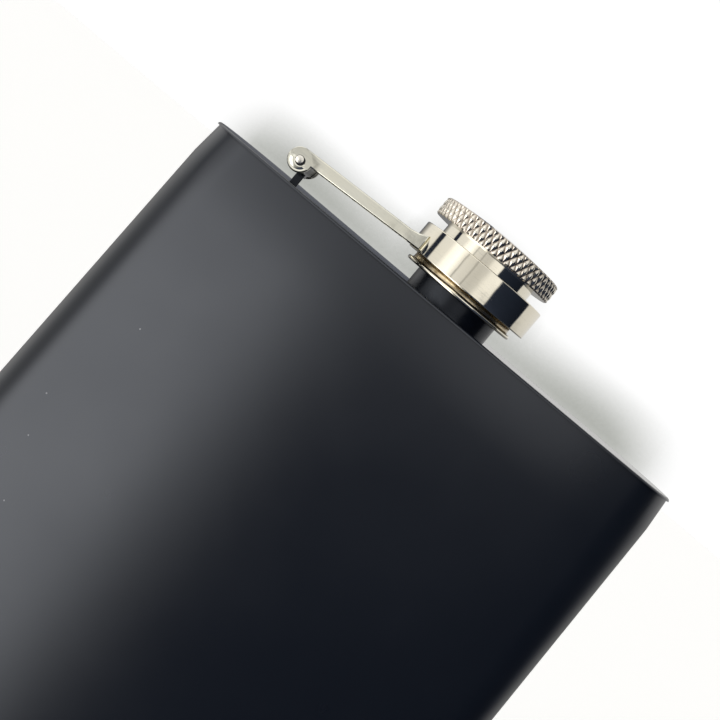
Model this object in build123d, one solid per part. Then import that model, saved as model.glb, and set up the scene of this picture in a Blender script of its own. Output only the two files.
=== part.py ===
from build123d import *
import os
from math import asin, cos, degrees, radians, sqrt, tan

# Curved hip flask with a captive screw cap. Millimetres. Origin under the middle of the base,
# +Z up through the mouth, +X across the width with the hinge on the -X side, -Y the bulging front.

# body
body_height = 129.0
top_half_width = 45.5
side_taper = 1.4            # degrees that each side leans out towards the base
body_thickness = 21.6       # measured square to the curved centreline
centreline_sag = 3.8        # how far the ends of the top outline sit behind its middle
sheet = 0.6                 # steel sheet of the wrapped wall
panel_sheet = 0.8           # steel sheet of the two end panels
rim_radius = 0.4

# neck, heights counted from the top panel
collar_radius = 7.47
collar_height = 3.1
thread_root_radius = 6.15
thread_crest_radius = 6.5
thread_pitch = 1.6
thread_turns = 3
thread_start = 0.9          # turns from the collar up to the first ridge
ridge_half_height = thread_pitch / 4
crest_half_height = ridge_half_height / 3
neck_height = 9.45
mouth_radius = 5.5
spigot_radius = 6.4
spigot_depth = 1.1

# cap, heights counted from the top panel
lip_height = 2.6
lip_radius = 9.9
lip_edge = 0.35
flare_radius = 9.2
flare_height = 4.15
flare_top = 5.2
flare_spread = 0.25         # how far the sleeve has already opened halfway down to flare_height
sleeve_radius = 8.2
sleeve_sheet = 0.5
sleeve_top = 11.4
head_height = 10.6
head_radius = 10.85
head_thickness = 3.0
head_chamfer = 0.25
crown_rise = 0.7
crown_radius = 9.9
liner_bottom = 4.9
liner_wall = 0.35
liner_ridge = 0.25
liner_thread_start = 0.8    # turns from the liner's mouth up to its first ridge
gasket_bottom = 9.5

# swivel ring and arm, heights counted from the top panel
ring_radius = 11.1
ring_bottom = 4.15
ring_top = 8.8
ring_bore_radius = 8.65
ring_mouth_radius = 9.8
ring_mouth_depth = 1.3
ring_shift = 0.3            # the loose ring hangs this far off the cap's axis, away from the hinge
pivot_x = -30.85
pivot_height = 3.4
ear_radius = 1.95
ear_half_spread = 4.4       # outer faces of the two ears
ear_length = 3.4            # straight part of the arm, from the pivot, before it widens
arm_sheet = 0.6
arm_end_x = -8.9
arm_end_half_width = 6.5
arm_rise = 0.9
arm_depth_at_ring = 1.75
arm_tip_rise = 0.75
arm_tip_length = 2.8

# hinge
pin_radius = 0.6
pin_proud = 0.25
pin_chamfer = 0.15
running_clearance = 0.05
knuckle_radius = 1.5
knuckle_side_gap = 0.2
foot_width = 1.0
foot_length = 3.0
foot_offset = 0.9           # the foot rises on the knuckle's cap side before the strip curls over


def centreline_end(half_width):
    """X of the point where the outline's straight run of thickness ends and its round end begins."""
    return half_width - body_thickness / 2


def half_width_at(height):
    """Half the body's width at a height above the base."""
    return top_half_width + (body_height - height) * tan(radians(side_taper))


top_end = centreline_end(top_half_width)
bend_radius = (top_end**2 + centreline_sag**2) / (2 * centreline_sag)
base_end = centreline_end(half_width_at(0))
base_sag = bend_radius - sqrt(bend_radius**2 - base_end**2)
neck_y = -base_sag / 2      # puts the body's bounding box evenly about the XZ plane


def outline(height, inset):
    """The kidney outline of the body at a height, drawn inwards by inset, as a face."""
    end_radius = body_thickness / 2 - inset
    end_x = centreline_end(half_width_at(height))
    turn = degrees(asin(end_x / bend_radius))
    bend_centre = (0, neck_y + bend_radius)
    end_y = bend_centre[1] - bend_radius * cos(radians(turn))
    front = CenterArc(bend_centre, bend_radius + end_radius, 270 - turn, 2 * turn)
    right = CenterArc((end_x, end_y), end_radius, 270 + turn, 180)
    back = CenterArc(bend_centre, bend_radius - end_radius, 270 + turn, -2 * turn)
    left = CenterArc((-end_x, end_y), end_radius, 90 - turn, 180)
    return Pos(0, 0, height) * make_face([front, right, back, left])


def body_block(inset, bottom, top):
    """The tapering body as a solid between two heights."""
    return loft([outline(bottom, inset), outline(top, inset)], ruled=True)


def slab(bottom, top):
    """A block wider than the body, used to slice a level out of it."""
    side = 4 * top_half_width
    return Pos(0, 0, (bottom + top) / 2) * Box(side, side, top - bottom)


def turned(points, x=0.0):
    """A solid turned about a vertical axis from (radius, height above the top panel) points."""
    profile = make_face(Plane.XZ * Polyline(*points, close=True))
    return Pos(x, neck_y, body_height) * revolve(profile, Axis.Z)


def rod(radius, height, bottom, x=0.0):
    """An upright cylinder on the neck's axis, or x beside it, from bottom above the top panel."""
    return Pos(x, neck_y, body_height + bottom + height / 2) * Cylinder(radius, height)


def cross_rod(radius, length):
    """A cylinder along the hinge axis, centred on the pivot."""
    place = Pos(pivot_x, neck_y, body_height + pivot_height)
    return place * Rot(90, 0, 0) * Cylinder(radius, length)


def make_body_shell():
    outer = body_block(0, 0, body_height)
    rims = outer.faces().sort_by(Axis.Z)[0].edges() + outer.faces().sort_by(Axis.Z)[-1].edges()
    return fillet(rims, rim_radius) - body_block(sheet, -1, body_height + 1)


def make_top_panel():
    panel = body_block(sheet, -1, body_height + 1) & slab(body_height - panel_sheet, body_height)
    return panel - rod(spigot_radius, 3 * panel_sheet, -2 * panel_sheet)


def make_bottom_panel():
    return body_block(sheet, -1, body_height + 1) & slab(0, panel_sheet)


def make_neck_spout():
    """A collar on the panel, a spigot through it, and a threaded stub drawn as rings."""
    stub = rod(thread_root_radius, neck_height + spigot_depth, -spigot_depth)
    stub += rod(spigot_radius, spigot_depth, -spigot_depth)
    stub += rod(collar_radius, collar_height, 0)
    for turn in range(thread_turns):
        middle = collar_height + (turn + thread_start) * thread_pitch
        stub += turned([
            (thread_root_radius - ridge_half_height, middle - ridge_half_height),
            (thread_root_radius, middle - ridge_half_height),
            (thread_crest_radius, middle - crest_half_height),
            (thread_crest_radius, middle + crest_half_height),
            (thread_root_radius, middle + ridge_half_height),
            (thread_root_radius - ridge_half_height, middle + ridge_half_height),
        ])
    return stub - rod(mouth_radius, 2 * neck_height, -neck_height / 2)


def make_cap_sleeve():
    """A drawn cup, mouth down, whose flared lip keeps the swivel ring captive."""
    inner = sleeve_radius - sleeve_sheet
    return turned([
        (0, sleeve_top - sleeve_sheet),
        (inner, sleeve_top - sleeve_sheet),
        (inner, flare_top - sleeve_sheet),
        (flare_radius - sleeve_sheet, flare_height - sleeve_sheet / 2),
        (lip_radius - sleeve_sheet, lip_height),
        (lip_radius - lip_edge / 3, lip_height),
        (lip_radius, lip_height + lip_edge / 3),
        (lip_radius, lip_height + lip_edge),
        (flare_radius, flare_height),
        (sleeve_radius + flare_spread, (flare_height + flare_top) / 2),
        (sleeve_radius, flare_top),
        (sleeve_radius, sleeve_top),
        (0, sleeve_top),
    ])


def make_cap_head():
    """The thick grip disc with its low domed crown, recessed underneath to sit on the sleeve."""
    top = head_height + head_thickness
    disc = turned([
        (0, head_height),
        (head_radius - head_chamfer, head_height),
        (head_radius, head_height + head_chamfer),
        (head_radius, top - head_chamfer),
        (head_radius - head_chamfer, top),
        (0, top),
    ])
    ball_radius = (crown_radius**2 + crown_rise**2) / (2 * crown_rise)
    ball = Pos(0, neck_y, body_height + top + crown_rise - ball_radius) * Sphere(ball_radius)
    crown = ball & rod(head_radius, 2 * crown_rise, top)
    return disc + crown - rod(sleeve_radius, sleeve_top - head_height, head_height)


def make_cap_liner():
    """The plastic threaded insert inside the sleeve, its thread drawn as rings."""
    outer = sleeve_radius - sleeve_sheet
    inner = outer - liner_wall
    liner = rod(outer, gasket_bottom - liner_bottom, liner_bottom)
    liner -= rod(inner, 2 * gasket_bottom, 0)
    for turn in range(thread_turns - 1):
        middle = liner_bottom + (turn + liner_thread_start) * thread_pitch
        liner += turned([
            (inner + liner_wall / 2, middle - ridge_half_height),
            (inner, middle - ridge_half_height),
            (inner - liner_ridge, middle - crest_half_height),
            (inner - liner_ridge, middle + crest_half_height),
            (inner, middle + ridge_half_height),
            (inner + liner_wall / 2, middle + ridge_half_height),
        ])
    return liner


def make_cap_gasket():
    return rod(sleeve_radius - sleeve_sheet, sleeve_top - sleeve_sheet - gasket_bottom, gasket_bottom)


def make_swivel_ring():
    return turned([
        (ring_bore_radius, ring_bottom + ring_mouth_depth),
        (ring_mouth_radius, ring_bottom),
        (ring_radius, ring_bottom),
        (ring_radius, ring_top),
        (ring_bore_radius, ring_top),
    ], ring_shift)


def arm_top(x):
    """Height of the arm's upper edge above the top panel at x, before its tip turns up."""
    return pivot_height + ear_radius + arm_rise * (x - pivot_x) / (arm_end_x - pivot_x)


def arm_plan(inset, start):
    """The arm's plan outline as a tall prism, narrowed by inset, from x = start to past the ring."""
    widen_x = pivot_x + ear_length
    near = ear_half_spread - inset
    far = arm_end_half_width - inset
    points = [
        (start, -near), (widen_x, -near), (arm_end_x, -far),
        (arm_end_x, far), (widen_x, near), (start, near),
    ]
    prism = extrude(make_face(Polyline(*points, close=True)), ring_top)
    return Pos(0, neck_y, body_height) * prism


def arm_side(points):
    """A side profile of (x, height above the top panel) points, extruded across the arm."""
    face = make_face(Plane.XZ * Polyline(*points, close=True))
    return Pos(0, neck_y, body_height) * extrude(face, 2 * arm_end_half_width, both=True)


def make_cap_arm():
    """A channel, web on top, with two ears that straddle the bracket's knuckle."""
    tip_x = arm_end_x - arm_tip_length
    side = arm_side([
        (pivot_x, pivot_height),
        (arm_end_x, arm_top(arm_end_x) - arm_depth_at_ring),
        (arm_end_x, arm_top(arm_end_x) + arm_tip_rise),
        (arm_end_x - arm_tip_length / 2, arm_top(arm_end_x - arm_tip_length / 2) + arm_tip_rise / 4),
        (tip_x, arm_top(tip_x)),
        (pivot_x, arm_top(pivot_x)),
    ])
    side += cross_rod(ear_radius, 4 * arm_end_half_width)
    channel = side & arm_plan(0, pivot_x - 2 * ear_radius)
    under_web = arm_side([
        (pivot_x, 0),
        (arm_end_x, 0),
        (arm_end_x, arm_top(arm_end_x) - arm_sheet),
        (pivot_x, arm_top(pivot_x) - arm_sheet),
    ])
    channel -= under_web & arm_plan(arm_sheet, pivot_x)
    ear_slot = 2 * (ear_half_spread - arm_sheet)
    hinge_room = Pos(pivot_x, neck_y, body_height + pivot_height)
    channel -= hinge_room * Box(2 * ear_length, ear_slot, 4 * ear_radius)
    channel -= cross_rod(pin_radius, 4 * ear_half_spread)
    return channel - rod(ring_radius, 2 * ring_top, 0, ring_shift)


def make_hinge_pin():
    pin = cross_rod(pin_radius, 2 * (ear_half_spread + pin_proud))
    ends = pin.faces().filter_by(GeomType.PLANE).edges()
    return chamfer(ends, pin_chamfer)


def make_hinge_bracket():
    """A foot welded to the top panel that curls round the pin between the arm's ears."""
    length = 2 * (ear_half_spread - arm_sheet - knuckle_side_gap)
    knuckle = cross_rod(knuckle_radius, length)
    foot_place = Pos(pivot_x + foot_offset, neck_y, body_height + pivot_height / 2)
    foot = foot_place * Box(foot_width, foot_length, pivot_height)
    return knuckle + foot - cross_rod(pin_radius + running_clearance, 2 * length)


sub_parts = {
    "body_shell": make_body_shell,
    "top_panel": make_top_panel,
    "bottom_panel": make_bottom_panel,
    "neck_spout": make_neck_spout,
    "hinge_bracket": make_hinge_bracket,
    "hinge_pin": make_hinge_pin,
    "cap_arm": make_cap_arm,
    "swivel_ring": make_swivel_ring,
    "cap_sleeve": make_cap_sleeve,
    "cap_head": make_cap_head,
    "cap_liner": make_cap_liner,
    "cap_gasket": make_cap_gasket,
}

os.makedirs("parts", exist_ok=True)
for name, make in sub_parts.items():
    export_step(make(), f"parts/{name}.step")
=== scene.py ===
from math import asin, cos, pi, radians, sin, tan

import bmesh
import bpy
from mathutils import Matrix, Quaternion, Vector


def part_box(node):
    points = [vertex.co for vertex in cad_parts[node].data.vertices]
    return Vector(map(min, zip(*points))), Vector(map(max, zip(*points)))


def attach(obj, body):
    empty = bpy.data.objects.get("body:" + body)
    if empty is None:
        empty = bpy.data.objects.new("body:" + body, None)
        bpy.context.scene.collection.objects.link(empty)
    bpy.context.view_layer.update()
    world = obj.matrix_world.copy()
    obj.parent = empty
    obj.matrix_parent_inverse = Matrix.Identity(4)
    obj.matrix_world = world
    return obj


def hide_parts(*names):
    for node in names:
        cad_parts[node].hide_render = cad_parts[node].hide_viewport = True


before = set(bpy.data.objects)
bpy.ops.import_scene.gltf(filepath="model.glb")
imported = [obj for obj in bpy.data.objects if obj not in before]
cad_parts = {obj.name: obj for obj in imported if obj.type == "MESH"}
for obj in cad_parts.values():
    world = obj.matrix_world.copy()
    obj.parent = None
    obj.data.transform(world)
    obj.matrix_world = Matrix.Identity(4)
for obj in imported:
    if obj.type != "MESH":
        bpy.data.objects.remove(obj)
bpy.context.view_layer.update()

mm = 0.001
hair = 1e-8                 # sizes that differ by less than this are the same
weld = 1e-7                 # points nearer than this are made one
scene = bpy.context.scene


# ---------------------------------------------------------------- the frame's own sizes

class Round:
    """Where a turned CAD node stands: its axis, radius, bottom and top, in metres."""

    def __init__(self, node):
        low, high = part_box(node)
        self.x = (low.x + high.x) / 2
        self.y = (low.y + high.y) / 2
        self.radius = (high.x - low.x) / 2
        self.bottom = low.z
        self.top = high.z


neck = Round("neck_spout")
head = Round("cap_head")
sleeve = Round("cap_sleeve")
ring = Round("swivel_ring")
liner = Round("cap_liner")
shell_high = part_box("body_shell")[1]
pin_low, pin_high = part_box("hinge_pin")
bracket_low, bracket_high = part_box("hinge_bracket")
panel_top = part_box("top_panel")[1].z
neck_y = neck.y

# The body's outline is four arcs about a bowed centreline, as in the CAD source.
body_height = shell_high.z
body_thickness = 21.6 * mm
centreline_sag = 3.8 * mm
side_taper = radians(1.4)
wall_sheet = 0.6 * mm
rim_radius = 0.4 * mm
base_half_width = shell_high.x
top_half_width = base_half_width - body_height * tan(side_taper)
top_end = top_half_width - body_thickness / 2
bend_radius = (top_end**2 + centreline_sag**2) / (2 * centreline_sag)

pivot = Vector(((pin_low.x + pin_high.x) / 2, neck_y, (pin_low.z + pin_high.z) / 2))
pin_radius = (pin_high.z - pin_low.z) / 2
pin_proud = 0.25 * mm
ear_half_spread = (pin_high.y - pin_low.y) / 2 - pin_proud


# ---------------------------------------------------------------- mesh tools

def held(value):
    """A value held between 0 and 1."""
    return min(max(value, 0.0), 1.0)


def finish_mesh(name, mesh, materials, sharp_angle=35):
    """Makes an object of a bmesh, smooth shaded but for edges sharper than an angle."""
    bmesh.ops.remove_doubles(mesh, verts=mesh.verts, dist=weld)
    bmesh.ops.recalc_face_normals(mesh, faces=mesh.faces)
    data = bpy.data.meshes.new(name)
    mesh.to_mesh(data)
    mesh.free()
    data.shade_smooth()
    data.set_sharp_from_angle(angle=radians(sharp_angle))
    for material in materials:
        data.materials.append(material)
    piece = bpy.data.objects.new(name, data)
    scene.collection.objects.link(piece)
    flats = piece.modifiers.new("large_faces_lead", "WEIGHTED_NORMAL")
    flats.keep_sharp = True
    return piece


def put(piece, body, node):
    """The piece rides on a body and stands for a CAD node, which is hidden."""
    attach(piece, body)
    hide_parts(node)


def skin(mesh, rows, closed=False, kinds=None):
    """Faces between neighbouring rows of vertices, each row a ring.

    closed joins the last row to the first, and kinds gives a material index for each row's faces."""
    for index in range(len(rows) if closed else len(rows) - 1):
        here, there = rows[index], rows[(index + 1) % len(rows)]
        for step in range(len(here)):
            ahead = (step + 1) % len(here)
            corners = list(dict.fromkeys([here[step], here[ahead], there[ahead], there[step]]))
            if len(corners) > 2:
                mesh.faces.new(corners).material_index = kinds[index] if kinds else 0


def arc(centre, radius, start, end, steps):
    """Points of an arc in a profile plane, from one angle to another in degrees."""
    points = []
    for step in range(steps + 1):
        angle = radians(start + (end - start) * step / steps)
        points.append((centre[0] + radius * cos(angle), centre[1] + radius * sin(angle)))
    return points


def rounded(corners, steps=4):
    """A profile with its corners rounded. A corner is (u, v, radius); radius 0 stays sharp."""
    points = []
    count = len(corners)
    for index, (u, v, radius) in enumerate(corners):
        here = Vector((u, v))
        if radius == 0:
            points.append((u, v))
            continue
        before = (Vector(corners[index - 1][:2]) - here).normalized()
        after = (Vector(corners[(index + 1) % count][:2]) - here).normalized()
        half = before.angle(after) / 2
        centre = here + (before + after).normalized() * radius / sin(half)
        first = (here + before * radius / tan(half) - centre).normalized()
        last = (here + after * radius / tan(half) - centre).normalized()
        for step in range(steps + 1):
            point = centre + first.slerp(last, step / steps) * radius
            points.append((point.x, point.y))
    return points


def turned(name, loop, centre, materials, segments=256, relief=None, pick=None, closed=True):
    """A solid turned about an upright axis from (radius, height) points.

    closed joins the last point to the first; otherwise both ends lie on the axis. relief(angle,
    radius, height) gives each vertex its own radius, and pick(radius, height) a material index."""
    mesh = bmesh.new()
    rows = []
    for radius, height in loop:
        if radius < hair:
            rows.append([mesh.verts.new((centre[0], centre[1], height))] * segments)
            continue
        row = []
        for step in range(segments):
            angle = 2 * pi * step / segments
            reach = relief(angle, radius, height) if relief else radius
            place = (centre[0] + reach * cos(angle), centre[1] + reach * sin(angle), height)
            row.append(mesh.verts.new(place))
        rows.append(row)
    kinds = None
    if pick:
        kinds = [pick((u + next_u) / 2, (v + next_v) / 2)
                 for (u, v), (next_u, next_v) in zip(loop, loop[1:] + loop[:1])]
    skin(mesh, rows, closed, kinds)
    return finish_mesh(name, mesh, materials)


def swept_strip(line, thickness, middle_y, widths, edge):
    """A bmesh of a bent strip of sheet: an (x, z) centreline, and a width for each of its points."""
    mesh = bmesh.new()
    half = thickness / 2
    signs = ((-1, -1), (1, -1), (1, 1), (-1, 1))
    rows = []
    for index, (point, width) in enumerate(zip(line, widths)):
        side = width / 2
        section = rounded([(u * half, v * side, edge) for u, v in signs], 3)
        before = Vector(line[max(index - 1, 0)])
        after = Vector(line[min(index + 1, len(line) - 1)])
        along = (after - before).normalized()
        across = Vector((-along.y, along.x))
        places = [(point[0] + across.x * u, middle_y + v, point[1] + across.y * u) for u, v in section]
        rows.append([mesh.verts.new(place) for place in places])
    skin(mesh, rows)
    mesh.faces.new(rows[0])
    mesh.faces.new(rows[-1])
    return mesh


# ---------------------------------------------------------------- material tools

class Nodes:
    """A node tree and short ways to add nodes to it."""

    def __init__(self, tree):
        self.tree = tree

    def add(self, kind, **settings):
        node = self.tree.nodes.new(kind)
        for key, value in settings.items():
            setattr(node, key, value)
        return node

    def feed(self, value, socket):
        """Links an output, or sets a plain value, on a socket."""
        if isinstance(value, bpy.types.NodeSocket):
            self.tree.links.new(value, socket)
        else:
            socket.default_value = value

    def math(self, operation, *values):
        node = self.add("ShaderNodeMath", operation=operation)
        for index, value in enumerate(values):
            self.feed(value, node.inputs[index])
        return node.outputs[0]

    def span(self, value, from_low, from_high, to_low, to_high, **settings):
        """A value mapped from one range to another and held there."""
        node = self.add("ShaderNodeMapRange", **settings)
        for index, number in enumerate((value, from_low, from_high, to_low, to_high)):
            self.feed(number, node.inputs[index])
        return node.outputs["Result"]

    def blend(self, factor, first, second, **settings):
        """A colour mixed from two by a factor."""
        node = self.add("ShaderNodeMix", data_type="RGBA", **settings)
        self.feed(factor, node.inputs["Factor"])
        self.feed(first, node.inputs["A"])
        self.feed(second, node.inputs["B"])
        return node.outputs["Result"]

    def split(self, vector):
        """The X, Y and Z outputs of a vector."""
        node = self.add("ShaderNodeSeparateXYZ")
        self.feed(vector, node.inputs[0])
        return node.outputs

    def join(self, x, y, z):
        node = self.add("ShaderNodeCombineXYZ")
        for index, value in enumerate((x, y, z)):
            self.feed(value, node.inputs[index])
        return node.outputs[0]


class Recipe(Nodes):
    """The nodes of a new material, with its shader and the object's own coordinates."""

    def __init__(self, name):
        self.material = bpy.data.materials.new(name)
        self.material.use_nodes = True
        super().__init__(self.material.node_tree)
        self.shader = self.tree.nodes["Principled BSDF"]
        self.place = self.add("ShaderNodeTexCoord").outputs["Object"]

    def set(self, **sockets):
        """Sets shader sockets by name, with _ for a space."""
        for key, value in sockets.items():
            self.feed(value, self.shader.inputs[key.replace("_", " ")])

    def stretched(self, x, y, z):
        """The object's coordinates scaled along each axis, in features per metre."""
        node = self.add("ShaderNodeMapping")
        self.feed(self.place, node.inputs["Vector"])
        node.inputs["Scale"].default_value = (x, y, z)
        return node.outputs["Vector"]

    def noise(self, where, scale, detail=3.0, roughness=0.5):
        node = self.add("ShaderNodeTexNoise")
        self.feed(where, node.inputs["Vector"])
        node.inputs["Scale"].default_value = scale
        node.inputs["Detail"].default_value = detail
        node.inputs["Roughness"].default_value = roughness
        return node.outputs["Fac"]

    def bump(self, height, depth, strength=1.0, under=None):
        """Bump of a real depth in metres for a height that runs from 0 to 1."""
        node = self.add("ShaderNodeBump")
        node.inputs["Distance"].default_value = depth
        node.inputs["Strength"].default_value = strength
        self.feed(height, node.inputs["Height"])
        if under is not None:
            self.feed(under, node.inputs["Normal"])
        return node.outputs["Normal"]

    def round_axis(self, axis):
        """Distance from a turned piece's axis, the angle round it in radians, and the height."""
        x, y, height = self.split(self.place)
        east = self.math("SUBTRACT", x, axis.x)
        north = self.math("SUBTRACT", y, axis.y)
        squares = self.math("ADD", self.math("MULTIPLY", east, east), self.math("MULTIPLY", north, north))
        return self.math("SQRT", squares), self.math("ARCTAN2", north, east), height

    def unrolled(self, axis, around, out, up):
        """Coordinates unrolled from a turned piece: angle, distance from the axis and height, scaled."""
        reach, angle, height = self.round_axis(axis)
        return self.join(self.math("MULTIPLY", angle, around), self.math("MULTIPLY", reach, out),
                         self.math("MULTIPLY", height, up))


def black_coat(name="black_coat", rough=(0.27, 0.32), grain_depth=0.004 * mm):
    """Matte black baked coat: fine grain, cloudy gloss and a few specks of dust."""
    speck_size = 0.024
    speck_rarity = 0.57
    recipe = Recipe(name)
    grain = recipe.noise(recipe.place, 9000, 2.0, 0.6)
    clouds = recipe.noise(recipe.place, 60, 3.0)
    peel = recipe.noise(recipe.place, 900, 2.0)
    spots = recipe.add("ShaderNodeTexVoronoi")
    recipe.feed(recipe.place, spots.inputs["Vector"])
    spots.inputs["Scale"].default_value = 160
    rare = recipe.math("GREATER_THAN", recipe.noise(recipe.place, 45, 0.0), speck_rarity)
    small = recipe.math("LESS_THAN", spots.outputs["Distance"], speck_size)
    dust = recipe.math("MULTIPLY", rare, small)
    tone = recipe.blend(clouds, (0.0018, 0.0032, 0.0066, 1), (0.0028, 0.0046, 0.0092, 1))
    recipe.set(
        Base_Color=recipe.blend(dust, tone, (0.20, 0.20, 0.21, 1)),
        Roughness=recipe.span(clouds, 0.3, 0.7, *rough),
        IOR=1.62,
        Specular_Tint=(0.94, 0.98, 1.06, 1),
        Normal=recipe.bump(grain, grain_depth, 0.6, recipe.bump(peel, grain_depth, 0.5)),
    )
    return recipe.material


def nickel(name, tint=(0.80, 0.765, 0.665), rough=(0.03, 0.09), axis=None, scuff=False):
    """Bright nickel plate with a warm cast, hairlines from polishing, faint smudges and shallow dents.

    The hairlines run round an axis where there is one, and lengthwise otherwise."""
    recipe = Recipe(name)
    lines_at = recipe.unrolled(axis, 1.2, 2500, 2500) if axis else recipe.stretched(60, 2500, 2500)
    hairs = recipe.noise(lines_at, 2.0, 4.0, 0.7)
    smudge = recipe.noise(recipe.place, 260, 3.0)
    warmth = (0.97, 0.94, 0.88)
    darkness = 0.84
    warmer = tuple(part * factor for part, factor in zip(tint, warmth)) + (1,)
    darker = tuple(part * darkness for part in tint) + (1,)
    colour = recipe.blend(smudge, tint + (1,), warmer)
    colour = recipe.blend(recipe.span(hairs, 0.56, 0.72, 0.0, 0.8), colour, darker)
    if scuff:
        streak = recipe.noise(recipe.stretched(150, 900, 1500), 1.0, 3.0, 0.6)
        colour = recipe.blend(recipe.span(streak, 0.56, 0.74, 0.0, 1.0), colour, darker)
    dents = recipe.noise(recipe.place, 520, 1.0)
    grain = recipe.noise(recipe.place, 2600, 2.0)
    shallow = recipe.bump(dents, 0.012 * mm)
    fine = recipe.bump(grain, 0.0012 * mm, under=shallow)
    recipe.set(
        Metallic=1.0,
        Base_Color=colour,
        Roughness=recipe.span(recipe.math("MULTIPLY", hairs, smudge), 0.1, 0.4, *rough),
        Normal=recipe.bump(hairs, 0.0016 * mm, 0.6, fine),
    )
    return recipe.material


def pin_gap_shade():
    """Painted shade: a near-black, crumbly colour for the gap round the pin, where shadow falls."""
    recipe = Recipe("pin_gap_shade")
    crumbs = recipe.noise(recipe.place, 7000, 3.0)
    recipe.set(
        # painted shade: near-black colour for the shadowed gap round the pin
        Base_Color=recipe.blend(crumbs, (0.004, 0.004, 0.006, 1), (0.02, 0.02, 0.024, 1)),
        Roughness=recipe.span(crumbs, 0.3, 0.7, 0.5, 0.8),
        Normal=recipe.bump(crumbs, 0.01 * mm, 0.6),
    )
    return recipe.material


def brassy_nickel():
    """The thin plate in the neck of the flare, where the brass shows warm under the nickel."""
    recipe = Recipe("nickel_over_brass")
    worn = recipe.noise(recipe.unrolled(sleeve, 6, 1, 900), 1.0, 4.0, 0.6)
    lines = recipe.noise(recipe.unrolled(sleeve, 1, 1, 9000), 1.0, 2.0)
    bare = (0.30, 0.235, 0.14, 1)
    plated = (0.62, 0.53, 0.38, 1)
    recipe.set(
        Metallic=1.0,
        Base_Color=recipe.blend(recipe.span(worn, 0.35, 0.65, 0, 1), bare, plated),
        Roughness=recipe.span(worn, 0.3, 0.7, 0.34, 0.16),
        Normal=recipe.bump(lines, 0.002 * mm, 0.5),
    )
    return recipe.material


def knurled_nickel():
    """Nickel on the grip: the grooves are duller and darker than the crests, partly oxide and partly
    painted shade.
    """
    recipe = Recipe("nickel_grip")
    reach = recipe.round_axis(head)[0]
    crest = recipe.span(reach, head.radius - knurl_depth, head.radius, 0.0, 1.0)
    grit = recipe.noise(recipe.place, 4000, 3.0)
    worn = recipe.math("MULTIPLY", crest, recipe.span(grit, 0.2, 0.8, 0.8, 1.1))
    recipe.set(
        Metallic=1.0,
        # painted shade with some oxide: the colour darkens from the crest down to the groove floor
        Base_Color=recipe.blend(worn, (0.30, 0.245, 0.20, 1), (0.87, 0.835, 0.74, 1)),
        Roughness=recipe.span(worn, 0.0, 1.0, 0.26, 0.10),
        Normal=recipe.bump(grit, 0.004 * mm, 0.5),
    )
    return recipe.material


def stainless():
    """Turned steel: rings of tool marks round the axis, a grey cast and soft gloss."""
    recipe = Recipe("turned_steel")
    marks = recipe.noise(recipe.unrolled(neck, 1, 6000, 6000), 1.0, 3.0)
    recipe.set(
        Metallic=1.0,
        Base_Color=recipe.blend(marks, (0.50, 0.49, 0.47, 1), (0.64, 0.62, 0.60, 1)),
        Roughness=recipe.span(marks, 0.2, 0.8, 0.20, 0.34),
        Normal=recipe.bump(marks, 0.003 * mm, 0.6),
    )
    return recipe.material


def coated_collar():
    """The coat on the turned collar: smoother than on the sheet, with brushed traces below it."""
    recipe = Recipe("coated_collar")
    marks = recipe.noise(recipe.unrolled(neck, 1, 4000, 4000), 1.0, 3.0)
    clouds = recipe.noise(recipe.place, 300, 3.0)
    recipe.set(
        Base_Color=recipe.blend(clouds, (0.0022, 0.0034, 0.0058, 1), (0.0045, 0.0060, 0.0095, 1)),
        Roughness=recipe.span(clouds, 0.3, 0.7, 0.20, 0.32),
        IOR=1.42,
        Specular_Tint=(0.90, 0.97, 1.10, 1),
        Normal=recipe.bump(marks, 0.003 * mm, 0.5),
    )
    return recipe.material


def white_plastic():
    """Moulded polypropylene of the threaded insert, with flow marks and a soft sheen."""
    recipe = Recipe("white_plastic")
    flow = recipe.noise(recipe.stretched(200, 200, 1200), 1.0, 3.0)
    recipe.set(
        Base_Color=recipe.blend(flow, (0.74, 0.74, 0.71, 1), (0.83, 0.83, 0.80, 1)),
        Roughness=recipe.span(flow, 0.2, 0.8, 0.32, 0.46),
        Subsurface_Weight=0.15,
        Normal=recipe.bump(flow, 0.01 * mm, 0.4),
    )
    recipe.shader.inputs["Subsurface Radius"].default_value = (0.0015, 0.0015, 0.0012)
    return recipe.material


def silicone():
    """Grey silicone of the seal, a little dusty."""
    recipe = Recipe("silicone")
    dust = recipe.noise(recipe.place, 2500, 4.0, 0.7)
    recipe.set(
        Base_Color=recipe.blend(dust, (0.36, 0.36, 0.35, 1), (0.46, 0.46, 0.45, 1)),
        Roughness=recipe.span(dust, 0.3, 0.7, 0.48, 0.62),
        Normal=recipe.bump(dust, 0.01 * mm, 0.5),
    )
    return recipe.material


# ---------------------------------------------------------------- the flask's body

def outline(height, inset, side_steps=72, end_steps=48):
    """Points round the kidney outline at a height, drawn inwards by inset."""
    end_radius = body_thickness / 2 - inset
    end_x = top_end + (body_height - height) * tan(side_taper)
    turn = asin(end_x / bend_radius)
    bend_y = neck_y + bend_radius
    end_y = bend_y - bend_radius * cos(turn)
    arcs = (
        (0, bend_y, bend_radius + end_radius, -pi / 2 - turn, 2 * turn, side_steps),
        (end_x, end_y, end_radius, -pi / 2 + turn, pi, end_steps),
        (0, bend_y, bend_radius - end_radius, -pi / 2 + turn, -2 * turn, side_steps),
        (-end_x, end_y, end_radius, pi / 2 - turn, pi, end_steps),
    )
    points = []
    for x, y, radius, start, sweep, steps in arcs:
        for step in range(steps):
            angle = start + sweep * step / steps
            points.append((x + radius * cos(angle), y + radius * sin(angle), height))
    return points


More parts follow.
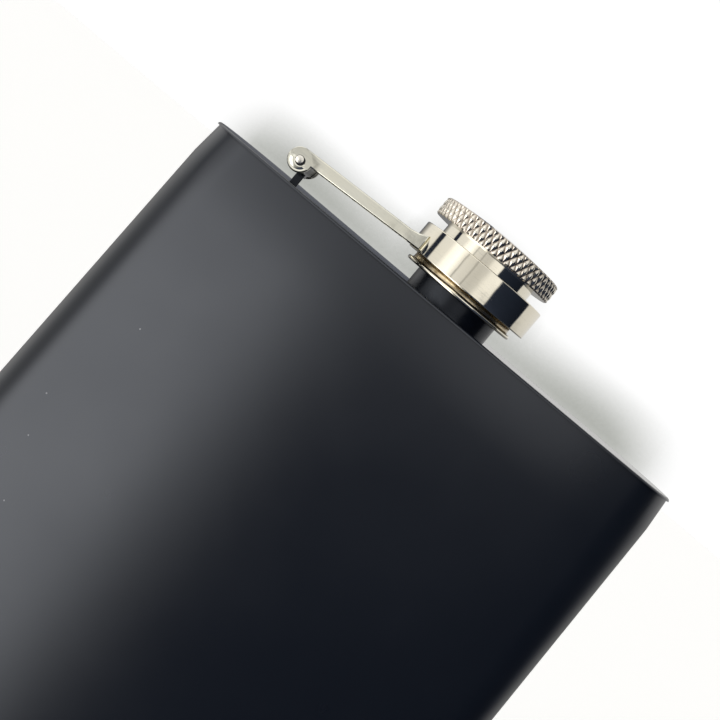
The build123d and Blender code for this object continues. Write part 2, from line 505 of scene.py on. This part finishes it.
def body_wall(material):
    """The wrapped wall as one closed sheet: a beaded rim at each end, outer face and inner face.

    The outer face draws in by the bead's radius over its last step, so each bead stands proud of it.
    The faces that lie under a bead cross one another within it."""
    levels = 24
    rim_steps = 6
    run = body_height - 2 * rim_radius
    bead = []
    for step in range(rim_steps + 1):
        angle = pi / 2 * step / rim_steps
        bead.append((rim_radius * (1 - sin(angle)), rim_radius * (1 - cos(angle))))
    path = bead + [(rim_radius + run * step / levels, 0.0) for step in range(1, levels)]
    path += [(body_height - height, inset) for height, inset in reversed(bead)]
    path += [(body_height - run * step / levels, wall_sheet) for step in range(levels)]
    path.append((0.0, wall_sheet))
    mesh = bmesh.new()
    rows = [[mesh.verts.new(point) for point in outline(height, inset)] for height, inset in path]
    skin(mesh, rows, closed=True)
    return finish_mesh("flask_wall", mesh, [material], 50)


# ---------------------------------------------------------------- neck and threads

thread_pitch = 1.6 * mm
thread_root = 6.15 * mm
thread_crest = 6.5 * mm
mouth_radius = 5.5 * mm
collar_top = panel_top + 3.1 * mm
thread_first = collar_top + 0.7 * mm
thread_last = neck.top - 0.9 * mm
thread_fade = thread_pitch / 2
ridge_foot = 0.33            # half the width of a ridge at its foot, in pitches
ridge_flank = 0.2            # the width of one sloping side, in pitches


def ridge(angle, height, first, last, phase=0.0):
    """How proud a helical ridge stands at a place, 0 to 1, fading in and out at its ends."""
    turns = (height - first) / thread_pitch - angle / (2 * pi) + phase
    away = abs(turns - round(turns))
    shape = held((ridge_foot - away) / ridge_flank)
    return shape * held(min(height - first, last - height) / thread_fade)


def neck_piece(coat, steel):
    """Collar, spigot through the panel, threaded stub with a true helix, and the bore."""
    edge = 0.25 * mm
    root_fillet = 0.15 * mm
    collar = neck.radius
    spigot = 6.4 * mm
    plain_end = 0.3 * mm
    rows = 72
    loop = rounded([
        (mouth_radius, neck.bottom, 0), (spigot, neck.bottom, 0), (spigot, panel_top, 0),
        (collar, panel_top, 0), (collar, collar_top, edge), (thread_root, collar_top, root_fillet),
    ])
    stub_foot = collar_top + edge
    run = thread_last + plain_end - stub_foot
    loop += [(thread_root, stub_foot + run * step / rows) for step in range(1, rows + 1)]
    lip = (thread_root - mouth_radius) / 2
    loop += arc((mouth_radius + lip, neck.top - lip), lip, 0, 180, 12)

    def relief(angle, radius, height):
        if abs(radius - thread_root) > hair or height < thread_first:
            return radius
        return radius + (thread_crest - thread_root) * ridge(angle, height, thread_first, thread_last)

    def pick(radius, height):
        return 0 if height < collar_top + edge / 4 and radius > thread_root + hair else 1

    return turned("neck_spout_turned", loop, (neck.x, neck.y), [coat, steel], 192, relief, pick)


# ---------------------------------------------------------------- cap

sleeve_radius = 8.2 * mm
sleeve_sheet = 0.5 * mm
lip_bead = 0.34 * mm
flare_radius = 9.2 * mm
flare_height = panel_top + 4.15 * mm
flare_top = panel_top + 5.2 * mm


def sleeve_piece(material, flare):
    """A drawn cup, mouth down: rolled lip, flare, plain skirt and closed end."""
    inner = sleeve_radius - sleeve_sheet
    shoulder = 0.35 * mm
    soft = 0.12 * mm
    bead_x = sleeve.radius - lip_bead
    bead_z = sleeve.bottom + lip_bead
    bead_start, bead_end = 200, 410
    cove_foot = bead_z + lip_bead * sin(radians(bead_end))
    flare_bend = 0.3 * mm
    inner_top = sleeve.top - sleeve_sheet
    loop = arc((bead_x, bead_z), lip_bead, bead_start, bead_end, 16)
    loop += [
        (flare_radius + soft, cove_foot + soft / 2),
        (flare_radius, cove_foot + 0.2 * mm),
        (flare_radius - 0.05 * mm, flare_height),
        (flare_radius - flare_bend, flare_height + shoulder),
        (sleeve_radius + soft, flare_top - 0.2 * mm),
        (sleeve_radius, flare_top),
        (sleeve_radius, sleeve.top - shoulder),
    ]
    loop += arc((sleeve_radius - shoulder, sleeve.top - shoulder), shoulder, 0, 90, 6)
    loop += [
        (0, sleeve.top),
        (0, inner_top),
        (inner - shoulder, inner_top),
        (inner, inner_top - shoulder),
        (inner, flare_top - sleeve_sheet),
        (flare_radius - sleeve_sheet, flare_height - sleeve_sheet / 2),
        (bead_x - lip_bead - 0.1 * mm, bead_z + lip_bead / 2),
    ]

    def pick(radius, height):
        return 1 if cove_foot < height < flare_top and radius > sleeve_radius else 0

    return turned("cap_sleeve_drawn", loop, (sleeve.x, sleeve.y), [material, flare], pick=pick)


diamond_count = 57
diamond_rows = 2.9
knurl_depth = 0.3 * mm
knurl_edge = 0.25 * mm
knurl_fullness = 0.62        # under 1 blunts each tip into a dome
segments_per_diamond = 14
crown_radius = 9.9 * mm
crown_rise = 0.7 * mm
knurl_top = head.top - crown_rise


def knurl(angle, radius, height):
    """The grip's outer radius, cut by two families of helical grooves."""
    if radius < head.radius - hair:
        return radius
    share = (height - head.bottom) / (knurl_top - head.bottom)
    round_turns = diamond_count * angle / (2 * pi)
    lean = share * diamond_rows / 2
    wander = 0.07 * sin(5 * angle + 2) + 0.05 * sin(11 * angle)      # faults of tracking, in diamonds
    crest = abs(sin(pi * (round_turns + lean)) * sin(pi * (round_turns - lean + wander)))**knurl_fullness
    return radius - knurl_depth * (1 - crest)


def head_piece(grip, smooth):
    """The knurled grip with its chamfers, the domed crown and the socket for the sleeve."""
    rows = 34
    crown_steps = 20
    crown_edge = 0.12 * mm
    chamfer_step = 0.1 * mm
    chamfer = head.radius - knurl_edge
    run = knurl_top - head.bottom - 2 * knurl_edge
    ball = (crown_radius**2 + crown_rise**2) / (2 * crown_rise)
    reach = asin(crown_radius / ball)
    loop = []
    for step in range(crown_steps + 1):
        angle = reach * step / crown_steps
        loop.append((ball * sin(angle), head.top - ball * (1 - cos(angle))))
    loop += [
        (crown_radius + crown_edge, knurl_top - crown_edge),
        (chamfer - chamfer_step, knurl_top - crown_edge),
        (chamfer, knurl_top - crown_edge / 2),
    ]
    loop += [(head.radius, knurl_top - knurl_edge - run * step / rows) for step in range(rows + 1)]
    loop += [(chamfer, head.bottom), (sleeve_radius, head.bottom)]
    loop += [(sleeve_radius, sleeve.top), (0, sleeve.top)]

    def pick(radius, height):
        return 0 if radius > chamfer + hair else 1

    return turned("cap_head_knurled", loop, (head.x, head.y), [grip, smooth],
                  diamond_count * segments_per_diamond, knurl, pick, closed=False)


def ring_piece(material):
    """The swivel ring: softly broken edges and a flared mouth over the lip."""
    bore = 8.65 * mm
    mouth = 9.8 * mm
    mouth_depth = 1.3 * mm
    edge = 0.18 * mm
    fine_edge = 0.1 * mm
    loop = rounded([
        (bore, ring.bottom + mouth_depth, fine_edge), (mouth, ring.bottom, fine_edge),
        (ring.radius, ring.bottom, edge), (ring.radius, ring.top, edge), (bore, ring.top, edge),
    ], 5)
    return turned("swivel_ring_turned", loop, (ring.x, ring.y), [material])


def liner_piece(material):
    """The plastic insert with an inner thread that fits the neck's."""
    inner = liner.radius - 0.35 * mm
    thread_depth = 0.25 * mm
    half_turn = 0.5
    rows = 60
    run = liner.top - liner.bottom
    loop = [(liner.radius, liner.bottom), (liner.radius, liner.top)]
    loop += [(inner, liner.top - run * step / rows) for step in range(rows + 1)]

    def relief(angle, radius, height):
        if abs(radius - inner) > hair:
            return radius
        return radius - thread_depth * ridge(angle, height, liner.bottom, liner.top, half_turn)

    return turned("cap_liner_threaded", loop, (liner.x, liner.y), [material], 160, relief)


# ---------------------------------------------------------------- hinge and arm

def pin_piece(material):
    """The pin with its two peened ends, laid along the hinge's axis."""
    half = (pin_high.y - pin_low.y) / 2
    dome = 0.07 * mm
    dome_share = 0.97
    dome_steps = 8
    ball = (pin_radius**2 + dome**2) / (2 * dome)
    reach = asin(dome_share * pin_radius / ball)
    side = []
    for step in range(dome_steps + 1):
        angle = reach * step / dome_steps
        side.append((ball * sin(angle), half - ball * (1 - cos(angle))))
    collar = half - dome - 0.1 * mm
    side += [(pin_radius, half - dome), (pin_radius, collar), (pin_radius - 0.04 * mm, collar - 0.05 * mm)]
    loop = side + [(radius, -height) for radius, height in reversed(side)]
    piece = turned("hinge_pin_peened", loop, (0, 0), [material], 64, closed=False)
    piece.data.transform(Quaternion((1, 0, 0), pi / 2).to_matrix().to_4x4())
    for vertex in piece.data.vertices:
        vertex.co += pivot
    return piece


def bracket_piece(material):
    """A foot on the panel, and a strip of sheet that rises from it and curls over the pin."""
    outer = bracket_high.z - pivot.z
    inner = pin_radius + 0.05 * mm
    middle = (outer + inner) / 2
    stem_x = pivot.x + 0.9 * mm
    foot_top = pivot.z - 1.3 * mm
    stem_width = 2.6 * mm
    curl_end = 285
    full_width = bracket_high.y - bracket_low.y
    line = [
        (stem_x, foot_top - 0.6 * mm),
        (stem_x, foot_top - 0.1 * mm),
        (stem_x, foot_top + 0.2 * mm),
        (stem_x + 0.03 * mm, pivot.z - 0.8 * mm),
        (pivot.x + middle - 0.04 * mm, pivot.z - 0.35 * mm),
    ]
    line += arc((pivot.x, pivot.z), middle, 0, curl_end, 44)
    widths = [stem_width] * 2 + [full_width] * (len(line) - 2)
    mesh = swept_strip(line, outer - inner, neck_y, widths, 0.1 * mm)

    front = neck_y - 1.5 * mm
    back = neck_y + 1.5 * mm
    front_edge = 0.12 * mm
    back_edge = 0.1 * mm
    plan = rounded([
        (pivot.x + 0.25 * mm, front, front_edge),
        (pivot.x + 1.6 * mm, front, front_edge),
        (pivot.x + 0.75 * mm, back, back_edge),
        (pivot.x + 0.3 * mm, back, back_edge),
    ])
    rows = [[mesh.verts.new((x, y, z)) for x, y in plan] for z in (bracket_low.z, foot_top)]
    skin(mesh, rows)
    for row in rows:
        mesh.faces.new(row)
    return finish_mesh("hinge_bracket_curled", mesh, [material])


def ear_face(outward):
    """Rows of (places, material) for the coined face round the pin on one ear, as a closed ring.

    The face is nearly flush with the cheek on the upper side and stands proud away from the arm.
    A gap is left round the pin, wider towards the arm, and coloured near black as painted shade."""
    ear_plane = pivot.y + outward * ear_half_spread
    pin = pin_radius / mm
    sunk = -0.2
    flush = 0.006
    widening = 0.3
    # dark is the painted shade material in the gap round the pin
    bright, dark = 0, 1
    gap_towards = radians(28)
    proud_towards = radians(8)
    proud_fade = 0.4
    profile = (             # radius, height over the ear and widening in millimetres, and the material
        (pin + 0.03, sunk, 0, dark), (pin + 0.03, flush, 0, dark), (pin + 0.05, flush, widening, dark),
        (pin + 0.09, 0.10, widening, bright), (1.05, 0.11, 0, bright), (1.25, 0.09, 0, bright),
        (1.42, 0.06, 0, bright), (1.50, 0.03, 0, bright), (1.58, 0.05, 0, bright),
        (1.66, 0.10, 0, bright), (1.78, 0.09, 0, bright), (1.85, flush, 0, bright), (1.86, sunk, 0, bright),
    )
    steps = 96
    rows = []
    for radius, proud, wider, kind in profile:
        row = []
        for step in range(steps):
            angle = 2 * pi * step / steps
            reach = (radius + wider * max(cos(angle + gap_towards), 0)) * mm
            below = held(-sin(angle + proud_towards) / proud_fade)
            lift = (flush + (proud - flush) * below if proud > flush else proud) * mm
            x = pivot.x + reach * cos(angle)
            z = pivot.z + reach * sin(angle)
            row.append((x, ear_plane + outward * lift, z))
        rows.append((row, kind))
    return rows


def arm_piece(material, gap_shade_material):
    """The pressed channel: the CAD shape with softened edges and coined ears."""
    facet_angle = radians(1.5)
    softening = 0.2 * mm
    mesh = bmesh.new()
    mesh.from_mesh(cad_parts["cap_arm"].data)
    bmesh.ops.remove_doubles(mesh, verts=mesh.verts, dist=0.001 * mm)
    bmesh.ops.dissolve_limit(mesh, angle_limit=facet_angle, verts=mesh.verts, edges=mesh.edges)
    mesh.normal_update()

    cheek = ear_half_spread - 0.01 * mm
    sideways = 0.9           # a cheek's face looks along the hinge's axis by more than this
    edgeways = 0.5           # and the cut edge of the sheet by less than this
    cheek_edges = []
    for edge in mesh.edges:
        slopes = sorted(abs(face.normal.y) for face in edge.link_faces)
        on_cheek = all(abs(corner.co.y - neck_y) > cheek for corner in edge.verts)
        if on_cheek and len(slopes) == 2 and slopes[0] < edgeways and slopes[1] > sideways:
            cheek_edges.append(edge)
    bmesh.ops.bevel(mesh, geom=cheek_edges, offset=softening, segments=4, profile=0.5, affect="EDGES")
    for outward in (-1, 1):
        rows = ear_face(outward)
        rings = [[mesh.verts.new(place) for place in places] for places, kind in rows]
        skin(mesh, rings, closed=True, kinds=[kind for places, kind in rows])
    # the second material is the painted shade in the gap round each pin
    return finish_mesh("cap_arm_pressed", mesh, [material, gap_shade_material])


# ---------------------------------------------------------------- build

coat = black_coat()
collar_coat = coated_collar()
arm_nickel = nickel("nickel_arm", tint=(0.77, 0.765, 0.685), scuff=True)
bright_round = nickel("nickel_round", axis=ring)
pin_nickel = nickel("pin_nickel", tint=(0.90, 0.88, 0.82), rough=(0.26, 0.34))

put(body_wall(coat), "flask", "body_shell")
put(neck_piece(collar_coat, stainless()), "flask", "neck_spout")
put(bracket_piece(collar_coat), "flask", "hinge_bracket")
# the arm's second material paints shade into the gap round the pin
put(arm_piece(arm_nickel, pin_gap_shade()), "arm", "cap_arm")
put(ring_piece(bright_round), "arm", "swivel_ring")
put(pin_piece(pin_nickel), "arm", "hinge_pin")
put(sleeve_piece(bright_round, brassy_nickel()), "cap", "cap_sleeve")
put(head_piece(knurled_nickel(), bright_round), "cap", "cap_head")
put(liner_piece(white_plastic()), "cap", "cap_liner")

panel_coat = black_coat("panel_coat", rough=(0.12, 0.17), grain_depth=0.001 * mm)
for node, material in (("top_panel", panel_coat), ("bottom_panel", coat), ("cap_gasket", silicone())):
    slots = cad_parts[node].data.materials
    slots.clear()
    slots.append(material)


# ---------------------------------------------------------------- floor, light and camera

def grey(level):
    return (level, level, level, 1)


def pale_paper():
    """Pale paper for the floor, with a faint tooth and a weak glow that lightens the shadows."""
    recipe = Recipe("pale_paper")
    tooth = recipe.noise(recipe.place, 1500, 2.0)
    recipe.set(
        Base_Color=recipe.blend(tooth, (0.88, 0.88, 0.87, 1), (0.91, 0.91, 0.90, 1)),
        Roughness=0.9,
        Emission_Color=grey(1.0),
        Emission_Strength=0.25,
    )
    return recipe.material


def floor_piece():
    """A wide plain floor under the flask. Its mirror image stays out of the gloss."""
    half = 3000 * mm
    mesh = bmesh.new()
    bmesh.ops.create_grid(mesh, x_segments=1, y_segments=1, size=half)
    floor = finish_mesh("floor", mesh, [pale_paper()])
    floor.visible_glossy = False


def contact_shade():
    """A clear material that darkens where the flask's top crowds it, for the camera and in front only."""
    reach = 10.5 * mm
    towards_flask = (0.3, -0.74, -0.6)
    open_share, crowded_share = 0.99, 0.52
    shade_colour = (0.42, 0.43, 0.40, 1)
    recipe = Recipe("shadow_card")
    tooth = recipe.noise(recipe.place, 1500, 2.0)
    crowding = recipe.add("ShaderNodeAmbientOcclusion", samples=16)
    crowding.inputs["Distance"].default_value = reach
    recipe.feed(recipe.join(*towards_flask), crowding.inputs["Normal"])
    shade = recipe.span(crowding.outputs["AO"], open_share, crowded_share, 0.0, 1.0)
    shade = recipe.math("MULTIPLY", shade, recipe.span(tooth, 0.3, 0.7, 0.97, 1.0))
    at = recipe.split(recipe.place)
    for place, full_at, none_at in (
        (at["Z"], 130 * mm, 118 * mm),
        (at["Z"], 137 * mm, 147 * mm),
        (recipe.math("ABSOLUTE", at["X"]), 43 * mm, 51 * mm),
    ):
        shade = recipe.math("MULTIPLY", shade, recipe.span(place, full_at, none_at, 1.0, 0.0))
    camera_ray = recipe.add("ShaderNodeLightPath").outputs["Is Camera Ray"]
    in_front = recipe.math("SUBTRACT", 1.0, recipe.add("ShaderNodeNewGeometry").outputs["Backfacing"])
    shade = recipe.math("MULTIPLY", shade, recipe.math("MULTIPLY", camera_ray, in_front))
    clear = recipe.add("ShaderNodeBsdfTransparent")
    recipe.feed(recipe.blend(shade, grey(1.0), shade_colour), clear.inputs["Color"])
    recipe.feed(clear.outputs[0], recipe.tree.nodes["Material Output"].inputs["Surface"])
    recipe.tree.nodes.remove(recipe.shader)
    return recipe.material


def backdrop_piece():
    """A clear card just behind the flask that takes its soft contact shadow, seen from the front only.

    To every ray but the camera's it is wholly clear, so it changes no light and hides nothing."""
    gap = 0.3 * mm
    half = 150 * mm
    y = shell_high.y + gap
    mesh = bmesh.new()
    corners = [(-half, y, 0), (half, y, 0), (half, y, 2 * half), (-half, y, 2 * half)]
    mesh.faces.new([mesh.verts.new(corner) for corner in corners])
    card = finish_mesh("shadow_card", mesh, [contact_shade()])
    if card.data.polygons[0].normal.y > 0:
        card.data.flip_normals()
    card.visible_shadow = False
    card.visible_diffuse = False
    card.visible_glossy = False


# Brightness by azimuth (0 is in front of the flask, + towards its right), in units of BAND_UNIT.
BAND_UNIT = 3.0
LEVEL_BAND = (
    (-180, 0.05), (-158, 0.06), (-144, 0.14), (-132, 0.31), (-112, 0.34), (-98, 0.32), (-96, 0.01),
    (-87, 0.01), (-85, 0.31), (-66, 0.33), (-58, 0.46), (-46, 0.54), (-38, 0.40), (-35, 0.33),
    (-33.4, 0.10), (-32, 0.30), (-17, 0.27), (-14.5, 0.12), (-13, 0.24), (-4, 0.23), (4, 0.25),
    (12, 0.36), (28, 0.40), (32, 0.37), (34, 0.01), (98, 0.004), (100, 0.26), (130, 0.28), (180, 0.27),
)
LOW_BAND = (
    (-180, 0.08), (-150, 0.10), (-125, 0.24), (-109, 0.17), (-96, 0.13), (-83, 0.15), (-67, 0.80),
    (-22.5, 0.97), (-12.5, 0.15), (-4, 0.03), (100, 0.005), (122, 0.14), (150, 0.12), (180, 0.10),
)
HIGH_BAND = (
    (-180, 0.34), (-60, 0.50), (-30, 0.48), (30, 0.30), (60, 0.10), (110, 0.28), (180, 0.34),
)
OVERHEAD = 0.05
BACKGROUND = 1.02            # the ground as the camera sees it, just past white


def turn_share(degrees):
    """An azimuth from -180 to 180 degrees as a share of the full turn."""
    return (degrees + 180) / 360


def ramp(nodes, position, stops):
    """Greys over the full turn from (degrees, brightness) stops."""
    node = nodes.add("ShaderNodeValToRGB")
    nodes.feed(position, node.inputs[0])
    elements = node.color_ramp.elements
    while len(elements) > 1:
        elements.remove(elements[-1])
    for index, (degrees, level) in enumerate(stops):
        place = turn_share(degrees)
        element = elements.new(place) if index else elements[0]
        element.position = place
        element.color = grey(level)
    return node.outputs[0]


def studio():
    """Soft studio light by direction: bands of light and dark flags round the flask, at three heights."""
    shadow_tint = (0.62, 0.84, 1.45, 1)
    light_tint = (1.0, 0.99, 0.97, 1)
    tint_end = 0.08
    rise = 2.2               # how far the low band's edge rises towards the right, in degrees
    world = bpy.data.worlds.new("studio")
    scene.world = world
    world.use_nodes = True
    nodes = Nodes(world.node_tree)
    nodes.tree.nodes.clear()

    def step(value, start, end):
        return nodes.span(value, start, end, 0.0, 1.0, interpolation_type="SMOOTHSTEP")

    x, y, z = nodes.split(nodes.add("ShaderNodeTexCoord").outputs["Generated"])
    turn = nodes.math("ARCTAN2", x, nodes.math("MULTIPLY", y, -1))
    azimuth = nodes.math("MULTIPLY_ADD", turn, 0.5 / pi, 0.5)
    elevation = nodes.math("MULTIPLY", nodes.math("ARCSINE", z), 180 / pi)
    light = ramp(nodes, azimuth, LEVEL_BAND)
    light = nodes.blend(step(elevation, 14, 30), light, ramp(nodes, azimuth, HIGH_BAND))
    light = nodes.blend(step(elevation, 58, 72), light, grey(OVERHEAD))
    rising = nodes.span(azimuth, turn_share(8), turn_share(24), 0.0, rise)
    below = step(nodes.math("SUBTRACT", elevation, rising), 0, -6)
    light = nodes.blend(below, light, ramp(nodes, azimuth, LOW_BAND))
    tint = nodes.blend(step(light, 0.0, tint_end), shadow_tint, light_tint)

    lit = nodes.add("ShaderNodeBackground")
    nodes.feed(nodes.blend(1.0, light, tint, blend_type="MULTIPLY"), lit.inputs["Color"])
    nodes.feed(BAND_UNIT, lit.inputs["Strength"])
    seen = nodes.add("ShaderNodeBackground")
    nodes.feed(grey(1.0), seen.inputs["Color"])
    nodes.feed(BACKGROUND, seen.inputs["Strength"])
    choose = nodes.add("ShaderNodeMixShader")
    nodes.feed(nodes.add("ShaderNodeLightPath").outputs["Is Camera Ray"], choose.inputs[0])
    nodes.feed(lit.outputs[0], choose.inputs[1])
    nodes.feed(seen.outputs[0], choose.inputs[2])
    nodes.feed(choose.outputs[0], nodes.add("ShaderNodeOutputWorld").inputs[0])


def camera_at_photo():
    """The camera close in front of the neck, almost level and rolled so that the flask leans."""
    distance = 135 * mm
    azimuth = radians(-0.755)
    elevation = radians(0.6)
    roll = radians(40.115)
    target = Vector((-1.136 * mm, neck_y, panel_top + 2.327 * mm))
    back = Vector((sin(azimuth) * cos(elevation), -cos(azimuth) * cos(elevation), sin(elevation)))
    data = bpy.data.cameras.new("camera")
    data.lens = 44.38
    data.sensor_width = 36
    data.shift_x = -0.125
    data.shift_y = -0.09028
    data.clip_start = 1 * mm
    data.clip_end = 20
    camera = bpy.data.objects.new("camera", data)
    camera.rotation_mode = "QUATERNION"
    camera.location = target + back * distance
    camera.rotation_quaternion = (-back).to_track_quat("-Z", "Y") @ Quaternion((0, 0, 1), roll)
    scene.collection.objects.link(camera)
    scene.camera = camera


floor_piece()
backdrop_piece()
studio()
camera_at_photo()
scene.view_settings.view_transform = "Standard"

bpy.context.view_layer.update()
